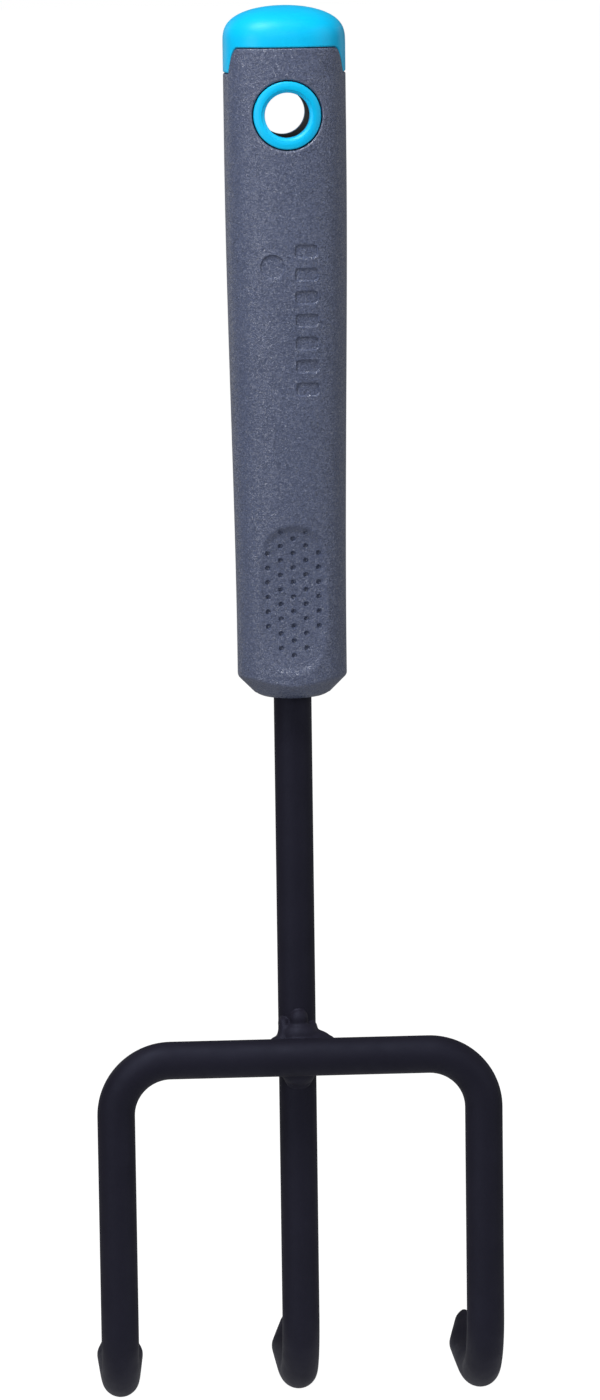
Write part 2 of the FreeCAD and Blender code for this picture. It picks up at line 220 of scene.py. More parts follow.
def rings_to_mesh(name, rings, closed_loop=False, sharp_deg=35.0, wear_and_highlight=None):
    """Closed mesh from equal rings of points. closed_loop joins the last ring to the first;
    otherwise a ring of one repeated point at either end closes to a tip.
    The last argument holds how rubbed each ring's points are, 0 to 1, for the materials, which paint it
    lighter: wear, and a painted highlight on rounded rims."""
    rings = [np.asarray(r, dtype=float) for r in rings]
    count = len(rings[0])
    verts, starts, tips, rub_and_highlight = [], [], [], []
    for i, ring in enumerate(rings):
        starts.append(len(verts))
        tip = not closed_loop and np.ptp(ring, axis=0).max() < 1e-9
        tips.append(tip)
        verts.extend([ring[0]] if tip else ring)
        value = np.zeros(count) if wear_and_highlight is None else np.zeros(count) + wear_and_highlight[i]
        rub_and_highlight.extend(value[:1] if tip else value)
    faces = []
    last = len(rings) if closed_loop else len(rings) - 1
    for r in range(last):
        a, b = starts[r], starts[(r + 1) % len(rings)]
        tip_a, tip_b = tips[r], tips[(r + 1) % len(rings)]
        for i in range(count):
            j = (i + 1) % count
            if tip_a:
                faces.append((a, b + j, b + i))
            elif tip_b:
                faces.append((a + i, a + j, b))
            else:
                faces.append((a + i, a + j, b + j, b + i))
    obj = make_object(name, verts, faces, sharp_deg)
    layer = obj.data.attributes.new("wear_and_highlight", "FLOAT", "POINT")
    layer.data.foreach_set("value", np.asarray(rub_and_highlight, dtype=np.float32))
    return obj


def apply_modifiers(obj):
    depsgraph = bpy.context.evaluated_depsgraph_get()
    mesh = bpy.data.meshes.new_from_object(obj.evaluated_get(depsgraph))
    obj.modifiers.clear()
    obj.data = mesh


def cut(obj, cutter):
    """Boolean difference, applied; the cutter is used up."""
    modifier = obj.modifiers.new("cut", "BOOLEAN")
    modifier.operation = "DIFFERENCE"
    modifier.solver = "MANIFOLD"
    modifier.object = cutter
    bpy.context.view_layer.update()
    apply_modifiers(obj)
    bpy.data.objects.remove(cutter)


def circle_about_y(angle, radius, y):
    return np.c_[radius * np.cos(angle), np.full_like(angle, y), radius * np.sin(angle)]


def drum_along_y(name, radius, y0, y1, steps=192):
    angle = np.linspace(0, 2 * np.pi, steps, endpoint=False)
    outline = ((0, y0), (radius, y0), (radius, y1), (0, y1))
    return rings_to_mesh(name, [circle_about_y(angle, r, y) for r, y in outline])


def level_ring(angle, z, inset=0.0, scale=1.0):
    """The handle's section at one height, as a ring of points."""
    x, y = section(angle, np.full_like(angle, z), inset)
    return np.c_[x * scale, y * scale, np.full_like(angle, z)]


def put(obj, material, stands_for):
    """Gives a visible piece its material and its place in the frame, in place of a CAD node."""
    obj.data.materials.clear()
    obj.data.materials.append(material)
    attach(obj, "root")
    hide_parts(stands_for)


# ---------------------------------------------------------------- materials
class Nodes:
    """Short way to lay out a material's nodes. Lengths in its patterns are in millimetres."""

    def __init__(self, name):
        self.material = bpy.data.materials.new(name)
        self.material.use_nodes = True
        self.tree = self.material.node_tree
        self.surface = self.tree.nodes["Principled BSDF"]
        coordinates = self.tree.nodes.new("ShaderNodeTexCoord")
        scale = self.tree.nodes.new("ShaderNodeVectorMath")
        scale.operation = "SCALE"
        scale.inputs["Scale"].default_value = 1 / MM
        self.link(coordinates.outputs["Object"], scale.inputs[0])
        self.place = scale.outputs[0]

    def link(self, a, b):
        self.tree.links.new(a, b)

    def feed(self, value, socket):
        if isinstance(value, (int, float, tuple)):
            socket.default_value = value
        else:
            self.link(value, socket)

    def noise(self, size_mm, detail=3.0, roughness=0.55):
        node = self.tree.nodes.new("ShaderNodeTexNoise")
        self.link(self.place, node.inputs["Vector"])
        node.inputs["Scale"].default_value = 1 / size_mm
        node.inputs["Detail"].default_value = detail
        node.inputs["Roughness"].default_value = roughness
        return node.outputs["Fac"]

    def cells(self, size_mm):
        node = self.tree.nodes.new("ShaderNodeTexVoronoi")
        self.link(self.place, node.inputs["Vector"])
        node.inputs["Scale"].default_value = 1 / size_mm
        return node

    def pebble(self, size_mm):
        """Height of rounded pits, one per cell."""
        return self.cells(size_mm).outputs["Distance"]

    def cell_random(self, size_mm):
        """A random value per cell, for sparkle."""
        split = self.tree.nodes.new("ShaderNodeSeparateColor")
        self.link(self.cells(size_mm).outputs["Color"], split.inputs[0])
        return split.outputs[0]

    def facets(self, size_mm, lean):
        """A normal that leans a random way in each cell, for the glitter of a spark-eroded surface."""
        tilt = self.tree.nodes.new("ShaderNodeVectorMath")
        tilt.operation = "MULTIPLY_ADD"
        self.link(self.cells(size_mm).outputs["Color"], tilt.inputs[0])
        tilt.inputs[1].default_value = (lean, lean, lean)
        tilt.inputs[2].default_value = (-lean / 2, -lean / 2, -lean / 2)
        surface = self.tree.nodes.new("ShaderNodeNewGeometry")
        total = self.tree.nodes.new("ShaderNodeVectorMath")
        total.operation = "ADD"
        self.link(surface.outputs["Normal"], total.inputs[0])
        self.link(tilt.outputs[0], total.inputs[1])
        unit = self.tree.nodes.new("ShaderNodeVectorMath")
        unit.operation = "NORMALIZE"
        self.link(total.outputs[0], unit.inputs[0])
        return unit.outputs[0]

    def remap(self, value, a0, a1, b0, b1):
        node = self.tree.nodes.new("ShaderNodeMapRange")
        self.link(value, node.inputs["Value"])
        for key, number in (("From Min", a0), ("From Max", a1), ("To Min", b0), ("To Max", b1)):
            node.inputs[key].default_value = number
        return node.outputs["Result"]

    def maths(self, operation, a, b):
        node = self.tree.nodes.new("ShaderNodeMath")
        node.operation = operation
        self.feed(a, node.inputs[0])
        self.feed(b, node.inputs[1])
        return node.outputs[0]

    def mix(self, factor, a, b):
        node = self.tree.nodes.new("ShaderNodeMix")
        node.data_type = "RGBA"
        self.feed(factor, node.inputs[0])
        self.feed(a, node.inputs[6])
        self.feed(b, node.inputs[7])
        return node.outputs[2]

    def wear_and_highlight(self, patch_mm=1.2):
        """How rubbed the surface is, from the mesh, broken up into patches; on the rounded rims of the grip,
        cap and rings it is also a painted highlight.
        """
        node = self.tree.nodes.new("ShaderNodeAttribute")
        node.attribute_name = "wear_and_highlight"
        patches = self.remap(self.noise(patch_mm, 4.0, 0.65), 0.36, 0.62, 0.25, 1.0)
        return self.maths("MULTIPLY", node.outputs["Fac"], patches)

    def bump(self, height, distance_mm, strength=1.0, below=None):
        node = self.tree.nodes.new("ShaderNodeBump")
        node.inputs["Strength"].default_value = strength
        node.inputs["Distance"].default_value = distance_mm * MM
        self.link(height, node.inputs["Height"])
        if below is not None:
            self.link(below, node.inputs["Normal"])
        return node.outputs["Normal"]

    def set(self, **values):
        for key, value in values.items():
            self.feed(value, self.surface.inputs[key.replace("_", " ")])


def grip_material():
    """Grey soft-touch rubber, spark-eroded to a fine pebble that glitters in the light; lighter specks in its
    colour are painted glints, and its rims are painted lighter, as wear and as a highlight.
    """
    n = Nodes("grip_rubber")
    broad = n.remap(n.noise(14.0, 2.0), 0.35, 0.65, 0.0, 1.0)
    colour = n.mix(broad, (0.076, 0.0945, 0.165, 1), (0.088, 0.108, 0.185, 1))
    grain = n.remap(n.noise(0.35, 2.0, 0.7), 0.35, 0.65, 0.0, 0.7)
    colour = n.mix(grain, colour, (0.110, 0.130, 0.212, 1))
    # painted glint: sparse lighter specks in the colour stand for the sparkle of the lit pebble
    painted_glint = n.remap(n.cell_random(0.28), 0.80, 1.0, 0.0, 0.42)
    colour = n.mix(painted_glint, colour, (0.26, 0.28, 0.36, 1))
    # rims painted lighter: wear, and a painted highlight along the rounded seam, ring-seat and bevel edges
    colour = n.mix(n.maths("MULTIPLY", n.wear_and_highlight(), 0.40), colour, (0.22, 0.23, 0.30, 1))
    fine = n.noise(0.20, 2.0, 0.6)
    height = n.maths("ADD", n.pebble(0.34), n.maths("MULTIPLY", fine, 0.7))
    n.set(
        Base_Color=colour,
        Roughness=n.remap(n.cell_random(0.34), 0.0, 1.0, 0.12, 0.50),
        Specular_IOR_Level=0.60,
        Normal=n.bump(height, 0.10, 0.8, below=n.facets(0.36, 0.40)),
    )
    return n.material


def blue_material():
    """Bright blue satin moulding: faint flow marks, rims painted a little lighter, partly as wear and partly
    as a highlight.
    """
    n = Nodes("blue_plastic")
    flow = n.remap(n.noise(9.0, 2.0), 0.35, 0.65, 0.0, 1.0)
    colour = n.mix(flow, (0.000, 0.555, 1.000, 1), (0.000, 0.595, 1.000, 1))
    # rims painted lighter: wear, and a painted highlight on the cap's rim and the rings' rim, bevel and lip
    colour = n.mix(n.maths("MULTIPLY", n.wear_and_highlight(0.9), 0.35), colour, (0.10, 0.70, 1.0, 1))
    satin = n.noise(0.25, 2.0)
    n.set(
        Base_Color=colour,
        Roughness=n.remap(n.noise(2.5), 0.3, 0.7, 0.36, 0.46),
        Specular_IOR_Level=0.36,
        Specular_Tint=(0.60, 0.92, 1.0, 1),
        Normal=n.bump(satin, 0.012, 0.6),
    )
    return n.material


def steel_material(name, base, lighter):
    """Satin black powder coat: orange peel, cloudy roughness, rubbed a little along the leaf edges."""
    n = Nodes(name)
    cloud = n.remap(n.noise(11.0, 3.0), 0.3, 0.7, 0.0, 1.0)
    colour = n.mix(cloud, base, lighter)
    colour = n.mix(n.maths("MULTIPLY", n.wear_and_highlight(0.8), 0.5), colour, (0.050, 0.052, 0.070, 1))
    peel = n.noise(0.55, 2.0)
    grit = n.noise(0.12, 1.0)
    height = n.maths("ADD", peel, n.maths("MULTIPLY", grit, 0.25))
    n.set(
        Base_Color=colour,
        Roughness=n.remap(n.noise(4.0, 4.0), 0.3, 0.7, 0.58, 0.70),
        Specular_IOR_Level=0.36,
        Specular_Tint=(0.66, 0.72, 1.0, 1),
        Normal=n.bump(height, 0.03, 0.5),
    )
    return n.material


def core_material():
    """Dark rigid plastic of the hidden core."""
    n = Nodes("core_plastic")
    colour = n.mix(n.noise(3.0), (0.004, 0.007, 0.010, 1), (0.008, 0.012, 0.016, 1))
    n.set(Base_Color=colour, Roughness=0.7, Normal=n.bump(n.noise(0.4), 0.02, 0.4))
    return n.material


# ---------------------------------------------------------------- seam between sleeve and cap
def seam_height(y):
    """Seam between cap and sleeve: level at the front and back, dropping round each side tongue."""
    slope = TONGUE_DROP / (TONGUE_HALF_TOP - TONGUE_HALF_BOTTOM)
    ramp = slope * (np.abs(y) - TONGUE_HALF_TOP)
    drop = smooth_min(ramp, np.zeros_like(ramp), TONGUE_CORNER)
    return Z_TOP - SEAM_BELOW_TOP + np.maximum(drop, -TONGUE_DROP)


def rounded_rim(angle, edge, side):
    """Rings of a quarter round, from the edge out to the full section, each with how rubbed it is; the
    materials paint that value lighter, as wear and as a highlight on the rim.
    side is -1 for a rim below the edge, 1 for one above it."""
    for step in np.linspace(0, 1, 7):
        away = SEAM_ROUND * (1 - math.cos(step * math.pi / 2))
        inset = SEAM_ROUND * (1 - math.sin(step * math.pi / 2))
        z = edge + side * away
        x, y = section(angle, z, inset)
        yield np.c_[x, y, z], math.sin(step * math.pi)


def even_angles(step_of, z=0.0, samples=20000):
    """Angles round the section, spaced by the wanted step (mm) at each point: step_of(x, y)."""
    angle = np.linspace(-np.pi / 2, 3 * np.pi / 2, samples)
    x, y = section(angle, z)
    length = np.hypot(np.diff(x), np.diff(y))
    middle_x, middle_y = (x[1:] + x[:-1]) / 2, (y[1:] + y[:-1]) / 2
    turns = np.r_[0, np.cumsum(length / step_of(middle_x, middle_y))]
    count = int(math.ceil(turns[-1]))
    return np.interp(np.linspace(0, turns[-1], count, endpoint=False), turns, angle)


def on_tongue_slope(x, y):
    """Where the seam drops round a side tongue."""
    slope = (np.abs(y) > TONGUE_HALF_BOTTOM - 0.4) & (np.abs(y) < TONGUE_HALF_TOP + 1.2)
    return slope & (np.abs(x) > SIDE_FROM)


def grip_step(x, y):
    """Fine columns over the front's details and the tongue's slopes, coarser elsewhere."""
    step = np.where(np.abs(x) < SIDE_FROM, MIDDLE_STEP, COARSE_STEP)
    step = np.where((np.abs(x) < FRONT_DETAIL_HALF_WIDTH) & (y < 0), FINE_STEP, step)
    return np.where(on_tongue_slope(x, y), TONGUE_STEP, step)


# ---------------------------------------------------------------- grip sleeve
def grip_heights():
    """Heights of the sleeve's rows, from just below the tongues down to the foot of the bevel."""
    z0 = Z_BOTTOM + 0.9
    # top of each stretch, with the spacing of its rows
    stretches = (
        (Z_BOTTOM + 4.0, 0.2),                                      # bevel
        (RECESS_CENTRE_Z + RECESS_LENGTH / 2 + 1.5, FINE_STEP),     # thumb rest
        (-62.0, 0.8),                                               # plain
        (-25.0, 0.2),                                               # bars and dot
        (-8.6, 0.6),                                                # plain
        (8.2, 0.16),                                                # hang ring
    )
    heights = [np.array([z0])]
    for z1, step in stretches:
        count = max(2, int(round((z1 - z0) / step)))
        heights.append(np.linspace(z0, z1, count + 1)[1:])
        z0 = z1
    return np.concatenate(heights)[::-1]


def recess_field(x, z):
    """1 inside the thumb rest, easing to 0 across its soft border."""
    r = RECESS_WIDTH / 2
    dz = np.maximum(np.abs(z - RECESS_CENTRE_Z) - (RECESS_LENGTH / 2 - r), 0)
    distance = np.hypot(x, dz) - r
    return 1 - smooth_step((distance + RECESS_BORDER_INSIDE) / RECESS_BORDER)


def recess_floor_depth(z):
    """Depth of the thumb rest's scooped floor, as a distance from the rod's axis."""
    sag = RECESS_DEPTH - RECESS_END_DEPTH
    rise = sag * ((z - RECESS_CENTRE_Z) / (RECESS_LENGTH / 2)) ** 2
    return front_depth(RECESS_CENTRE_Z) - RECESS_DEPTH + rise


def dimple_centres():
    step_x = DIMPLE_PITCH * math.sqrt(3) / 2
    for column, first, last in DIMPLE_COLUMNS:
        rise = DIMPLE_RISE + (DIMPLE_PITCH / 2 if column % 2 else 0.0)
        for row in range(first, last + 1):
            yield column * step_x, RECESS_CENTRE_Z + row * DIMPLE_PITCH + rise


def sunk_by_dimples(x, z):
    sunk = np.zeros_like(x)
    for cx, cz in dimple_centres():
        rho2 = (x - cx) ** 2 + (z - cz) ** 2
        bowl = np.sqrt(np.maximum(DIMPLE_R ** 2 - rho2, 0))
        sunk = np.maximum(sunk, bowl * DIMPLE_DEPTH_PER_R)
    return sunk


def mark_field(x, z):
    """1 inside the plain moulded bars and the dot."""
    distances = [np.hypot(x - DOT_X, z - DOT_Z) - DOT_R]
    first = BARS_CENTRE_Z - BAR_PITCH * (BAR_COUNT - 1) / 2
    for i in range(BAR_COUNT):
        dx = np.maximum(np.abs(x - BAR_X) - BAR_WIDTH / 2 + BAR_CORNER_R, 0)
        dz = np.maximum(np.abs(z - first - i * BAR_PITCH) - BAR_HEIGHT / 2 + BAR_CORNER_R, 0)
        distances.append(np.hypot(dx, dz) - BAR_CORNER_R)
    return 1 - smooth_step(np.minimum.reduce(distances) / MARK_BORDER + 0.5)


def sink_front(x, y, z):
    """Moves the front's points in for the thumb rest, its dimples, the marks and the ring's seat."""
    front = y < 0
    depth = -y
    mask = recess_field(x, z)
    floored = smooth_min(depth, recess_floor_depth(z), 0.5)
    depth = np.where(front, depth + (floored - depth) * mask, depth)
    depth = depth - np.where(front, sunk_by_dimples(x, z) * mask, 0)
    depth = depth - np.where(front, MARK_DEPTH * mark_field(x, z), 0)
    return np.where(front, -depth, y)


def ease_ring_seat(x, y, z):
    """Rounds the sleeve's edge round the hang ring, front and back."""
    r = np.hypot(x, z)
    seat = RING_R + RING_GAP
    t = np.clip((seat + RING_EDGE - r) / RING_EDGE, 0, 1)
    fall = RING_EDGE * (1 - np.sqrt(1 - t ** 2))
    return y - np.sign(y) * fall


def held_in_bevel(x, y, z):
    """Holds the wall inside the 45 degree bevel of the lower end, with a softened edge. Also says how
    rubbed that edge is, a value the materials paint lighter as wear and as a highlight on the edge."""
    r, cone = np.hypot(x, y), NOSE_R + z - Z_BOTTOM
    keep = smooth_min(r, cone, BEVEL_EDGE) / r
    return x * keep, y * keep, 0.5 * np.exp(-((r - cone) / BEVEL_EDGE) ** 2)


def seat_rub_and_highlight(x, z):
    """Rubbed edge round the hang ring, painted lighter as wear and as a highlight on the edge."""
    past_seat = np.hypot(x, z) - RING_R - RING_GAP
    return np.exp(-((past_seat - 0.25) / 0.3) ** 2)


def grip_sleeve():
    """Soft sleeve with its thumb rest and marks: outer wall, mouth and inner wall in one closed mesh."""
    angle = even_angles(grip_step)
    rings, wear_and_highlight = [], []

    # outer wall: rounded rim under the seam, rows that follow the seam, then level rows
    _, y_top = section(angle, Z_TOP - SEAM_BELOW_TOP)
    seam = seam_height(y_top) - SEAM_GAP
    level_from = grip_heights()[0]
    for ring, rub_and_highlight in rounded_rim(angle, seam, -1):
        rings.append(ring)
        wear_and_highlight.append(rub_and_highlight)
    for t in np.linspace(0, 1, 13)[1:-1]:
        z = (seam - SEAM_ROUND) * (1 - t) + level_from * t
        x, y = section(angle, z)
        rings.append(np.c_[x, ease_ring_seat(x, y, z), z])
        wear_and_highlight.append(seat_rub_and_highlight(x, z))
    for height in grip_heights():
        z = np.full_like(angle, height)
        x, y = section(angle, z)
        y = ease_ring_seat(x, sink_front(x, y, z), z)
        x, y, rub_and_highlight = held_in_bevel(x, y, z)
        rings.append(np.c_[x, y, z])
        wear_and_highlight.append(np.maximum(seat_rub_and_highlight(x, z), rub_and_highlight))

    # underside, in to the rounded mouth round the shaft
    x, y = section(angle, np.full_like(angle, Z_BOTTOM))
    unit = np.c_[x, y] / np.hypot(x, y)[:, None]
    mouth = ROD_R + MOUTH_GAP
    for r in np.linspace(NOSE_R + 0.6, mouth + MOUTH_ROUND, 9):
        z = Z_BOTTOM + float(smooth_max(0.0, r - NOSE_R, 1.6))
        rings.append(np.c_[unit * r, np.full_like(angle, z)])
    for step in np.linspace(0, 1, 5)[1:]:
        r = mouth + MOUTH_ROUND * (1 - math.sin(step * math.pi / 2))
        z = Z_BOTTOM + MOUTH_ROUND * (1 - math.cos(step * math.pi / 2))
        rings.append(np.c_[unit * r, np.full_like(angle, z)])

    # hole wall, inner floor and inner wall
    inner = GRIP_WALL - 0.02
    rings.append(np.c_[unit * mouth, np.full_like(angle, Z_BOTTOM + inner)])
    x, y = section(angle, np.full_like(angle, Z_BOTTOM + BEVEL_HEIGHT), inner)
    keep = np.minimum(1, NOSE_R / np.hypot(x, y))
    rings.append(np.c_[x * keep, y * keep, np.full_like(angle, Z_BOTTOM + inner)])
    for height in np.linspace(Z_BOTTOM + BEVEL_HEIGHT, level_from, 24):
        rings.append(level_ring(angle, height, inner))
    x, y = section(angle, seam, inner)
    rings.append(np.c_[x, y, seam])

    wear_and_highlight += [0.0] * (len(rings) - len(wear_and_highlight))
    sleeve = rings_to_mesh("grip_sleeve_skin", rings, closed_loop=True, wear_and_highlight=wear_and_highlight)
    cut(sleeve, drum_along_y("ring_seat_cutter", RING_R + RING_GAP, -FAR, FAR))
    fix_normals(sleeve)
    return sleeve


# ---------------------------------------------------------------- butt cap
def cap_step(x, y):
    return np.where(on_tongue_slope(x, y), TONGUE_STEP, CAP_STEP)


def dome_ring(angle, degrees, inset=0.0):
    """Ring of the dome: 0 degrees is its shoulder and 90 its top, where the ring shrinks to a point."""
    shoulder, phi = Z_TOP - DOME_HEIGHT, math.radians(degrees)
    ring = level_ring(angle, shoulder, inset, math.cos(phi) if degrees < 90 else 0.0)
    ring[:, 2] = shoulder + (DOME_HEIGHT - inset) * math.sin(phi) ** (2 / DOME_POWER)
    return ring


def butt_cap():
    """Domed cap with its two side tongues: outer skin, rounded rim and inner skin in one closed mesh."""
    angle = even_angles(cap_step)
    shoulder = Z_TOP - DOME_HEIGHT
    _, y_top = section(angle, shoulder)
    seam = seam_height(y_top)
    wall = GRIP_WALL - 0.03
    rings = [dome_ring(angle, degrees) for degrees in np.r_[90, np.linspace(88.5, 3, 46)]]
    for t in np.linspace(0, 1, 10)[:-1]:
        z = shoulder * (1 - t) + (seam + SEAM_ROUND) * t
        x, y = section(angle, z)
        rings.append(np.c_[x, y, z])
    wear_and_highlight = [0.0] * len(rings)
    for ring, rub_and_highlight in reversed(list(rounded_rim(angle, seam, 1))):
        rings.append(ring)
        wear_and_highlight.append(rub_and_highlight)
    x, y = section(angle, seam, wall)
    rings.append(np.c_[x, y, seam])
    rings.append(level_ring(angle, shoulder, wall))
    rings += [dome_ring(angle, degrees, wall) for degrees in np.r_[np.linspace(15, 85, 8), 90]]
    wear_and_highlight += [0.0] * (len(rings) - len(wear_and_highlight))
    return rings_to_mesh("butt_cap", rings, wear_and_highlight=wear_and_highlight)


# ---------------------------------------------------------------- hang-hole rings
def ring_face():
    """Radius, sink below the handle's face, and wear, also painted as a highlight, from the outer wall over
    the face to the bore:
    a rounded rim, a slightly crowned face, a fine step and a sloping inner bevel."""
    rim, bevel_from, crown = 0.35, HOLE_R + 0.72, 0.08
    step, step_width, bevel_drop = 0.16, 0.10, 0.34
    bevel_width = bevel_from - step_width - HOLE_R - 0.1
    profile = []
    for t in np.linspace(0, 1, 7):
        turn = t * math.pi / 2
        profile.append((RING_R - rim * (1 - math.cos(turn)), rim * (1 - math.sin(turn)), 0.6 * t))
    for t in np.linspace(0, 1, 9)[1:]:
        r = RING_R - rim + (bevel_from - RING_R + rim) * t
        profile.append((r, -crown * math.sin(math.pi * t), 0.0))
    profile.append((bevel_from - 0.04, step, 0.0))
    for t in np.linspace(0, 1, 5):
        profile.append((bevel_from - step_width - bevel_width * t, step + bevel_drop * t, 0.5))
    profile.append((HOLE_R + 0.03, 0.62, 0.3))
    profile.append((HOLE_R, 0.80, 0.0))
    return profile


def hang_ring(name, side):
    """Moulded ring in one mouth of the hang hole: a flange flush with the sleeve and a spigot in the core."""
    a = np.linspace(0, 2 * np.pi, 160, endpoint=False)
    rings, wear_and_highlight = [], []
    for r, sink, rub_and_highlight in ring_face():
        x, z = r * np.cos(a), r * np.sin(a)
        rings.append(np.c_[x, side * (face_depth(x, z, side) - sink), z])
        wear_and_highlight.append(rub_and_highlight)
    for r, y in ((HOLE_R, SPIGOT_END + 0.2), (HOLE_R + 0.2, SPIGOT_END), (SPIGOT_R, SPIGOT_END)):
        rings.append(circle_about_y(a, r, side * y))
        wear_and_highlight.append(0.0)
    for r in (SPIGOT_R, RING_R):
        x, z = r * np.cos(a), r * np.sin(a)
        rings.append(np.c_[x, side * face_depth(x, z, side, GRIP_WALL), z])
        wear_and_highlight.append(0.0)
    return rings_to_mesh(name, rings, closed_loop=True, wear_and_highlight=wear_and_highlight)


# ---------------------------------------------------------------- steel fork
def bend(points, centre, axis, degrees, step=3.0):
    """Adds points that carry on from the last one, round an arc about centre."""
    start = points[-1] - centre
    count = max(2, int(abs(degrees) / step))
    for i in range(1, count + 1):
        turn = Matrix.Rotation(math.radians(degrees * i / count), 3, axis)
        points.append(centre + turn @ start)


def straight(points, end, step=3.0):
    start = points[-1].copy()
    count = max(1, int((end - start).length / step))
    for i in range(1, count + 1):
        points.append(start.lerp(end, i / count))


def leaf_size(s):
    """Half width and half thickness of the forged leaf; s runs along it from the end of the hook's bend.
    Two nearly straight edges meet at the widest place, and the point is blunt and rounded."""
    widening = ROD_R + (s - LEAF_FROM) * (LEAF_HALF_WIDTH - ROD_R) / (LEAF_WIDEST_AT - LEAF_FROM)
    narrowing = LEAF_HALF_WIDTH - LEAF_TAPER * (s - LEAF_WIDEST_AT)
    w = max(float(smooth_min(widening, narrowing, 0.5)), 0.0)
    w = float(smooth_max(w, ROD_R, 0.2)) if s < 0 else w
    blunt = max(0.0, (s - LEAF_LENGTH + LEAF_POINT) / LEAF_POINT)
    point = math.sqrt(max(0.0, 1 - blunt ** 2))
    flattened = float(smooth_step((s - LEAF_FROM / 2) / LEAF_THINS_OVER))
    thick = ROD_R + (LEAF_HALF_THICK - ROD_R) * flattened
    near_point = float(smooth_step((s - POINT_THINS_FROM) / (LEAF_LENGTH - POINT_THINS_FROM)))
    thick *= 1 - POINT_THINS_BY * near_point
    return w * point, thick * (0.25 + 0.75 * point) * min(1.0, 6 * point)


def hook_frame(x, y, z_low, toe_in):
    """Centre of the hook's bend, its axis, and the direction and start of the leaf."""
    toe = Matrix.Rotation(math.radians(toe_in), 3, "Z")
    centre = Vector((x, y, z_low + HOOK_R)) + toe @ Vector((0, HOOK_R, 0))
    axis = toe @ Vector((1, 0, 0))
    turn = Matrix.Rotation(math.radians(HOOK_DEG), 3, axis)
    along = turn @ Vector((0, 0, -1))
    start = centre + turn @ (Vector((x, y, z_low + HOOK_R)) - centre)
    return centre, axis, along, start


def leaf_stops():
    """Distances along the leaf, from its point back, closer together at the point."""
    return [LEAF_LENGTH * (1 - (1 - i / (LEAF_ROWS - 1)) ** 1.6) for i in reversed(range(LEAF_ROWS))]


def tine_points(x, y, z_low, toe_in):
    """Path from the leaf's point back to the top of the hook, with a section size at each point."""
    centre, axis, along, start = hook_frame(x, y, z_low, toe_in)
    points = [start + along * s for s in leaf_stops()]
    sizes = [leaf_size(s) for s in leaf_stops()]
    leaf_points = len(points)
    bend(points, centre, axis, -HOOK_DEG)
    in_hook = len(points) - leaf_points
    arc = HOOK_R * math.radians(HOOK_DEG)
    for i in range(1, in_hook + 1):
        s = -arc * i / in_hook
        sizes.append(leaf_size(s) if s > LEAF_FROM else (ROD_R, ROD_R))
    return points, sizes


def sweep(name, points, sizes, wide, sides=72):
    """Rod along points. wide is the direction of the section's width at the first point."""
    rings, wear_and_highlight = [], [0.0]
    a = np.linspace(0, 2 * np.pi, sides, endpoint=False)
    previous = None
    for i, p in enumerate(points):
        before, after = points[max(0, i - 1)], points[min(len(points) - 1, i + 1)]
        tangent = (after - before).normalized()
        if previous is not None:
            wide = previous.rotation_difference(tangent) @ wide
        wide = (wide - tangent * wide.dot(tangent)).normalized()
        thick = tangent.cross(wide)
        w, t = sizes[i]
        power = 2 + 0.5 * min(1.0, max(0.0, (w - t) / 2))     # 2 is round; the leaf is squarer
        cos, sin = signed_power(np.cos(a), 2 / power), signed_power(np.sin(a), 2 / power)
        ring = np.array(p)[None, :] + np.outer(cos * w, np.array(wide)) + np.outer(sin * t, np.array(thick))
        rings.append(ring)
        wear_and_highlight.append(np.abs(np.cos(a)) ** 10 * min(1.0, max(0.0, (w - t) / 1.5)))
        previous = tangent
    for at, ring in ((0, rings[0]), (len(rings), rings[-1])):
        centre = ring.mean(axis=0)
        rings.insert(at, np.repeat(centre[None, :], sides, axis=0))
    return rings_to_mesh(name, rings, sharp_deg=50.0, wear_and_highlight=wear_and_highlight + [0.0])


def centre_tine():
    """Shaft and middle tine, with a tang that runs up inside the handle."""
    points, sizes = tine_points(0.0, 0.0, Z_HOOK_MIDDLE, 0.0)
    straight(points, Vector((0, 0, Z_TANG_TOP - 1.0)))
    sizes += [(ROD_R, ROD_R)] * (len(points) - len(sizes))
    for below_top, r in ((0.4, 3.8), (0.0, 3.2)):
        points.append(Vector((0, 0, Z_TANG_TOP - below_top)))
        sizes.append((r, r))
    return sweep("shaft_and_middle_tine", points, sizes, Vector((1, 0, 0)))


def outer_tines():
    """Crossbar and both outer tines, bent from one rod."""
    half, end = TINE_SPAN / 2, TINE_SPAN / 2 - CORNER_R
    points, sizes = tine_points(-half, Y_CROSS, Z_HOOK_OUTER, -TOE_IN_DEG)
    straight(points, Vector((-half, Y_CROSS, Z_CROSS - CORNER_R)))
    bend(points, Vector((-end, Y_CROSS, Z_CROSS - CORNER_R)), "Y", 90)
    straight(points, Vector((end, Y_CROSS, Z_CROSS)))
    bend(points, Vector((end, Y_CROSS, Z_CROSS - CORNER_R)), "Y", 90)
    other, other_sizes = tine_points(half, Y_CROSS, Z_HOOK_OUTER, TOE_IN_DEG)
    straight(points, other[-1])
    points += list(reversed(other))[1:]
    middle = len(points) - len(sizes) - len(other_sizes)
    sizes = sizes + [(ROD_R, ROD_R)] * middle + list(reversed(other_sizes))
    return sweep("crossbar_and_outer_tines", points, sizes, Vector((1, 0, 0)))


def ball(bm, centre, half_sizes):
    made = bmesh.ops.create_icosphere(bm, subdivisions=4, radius=1.0)
    place = Matrix.Translation(Vector(centre) * MM) @ Matrix.Diagonal([s * MM for s in half_sizes] + [1])
    bmesh.ops.transform(bm, matrix=place, verts=made["verts"])


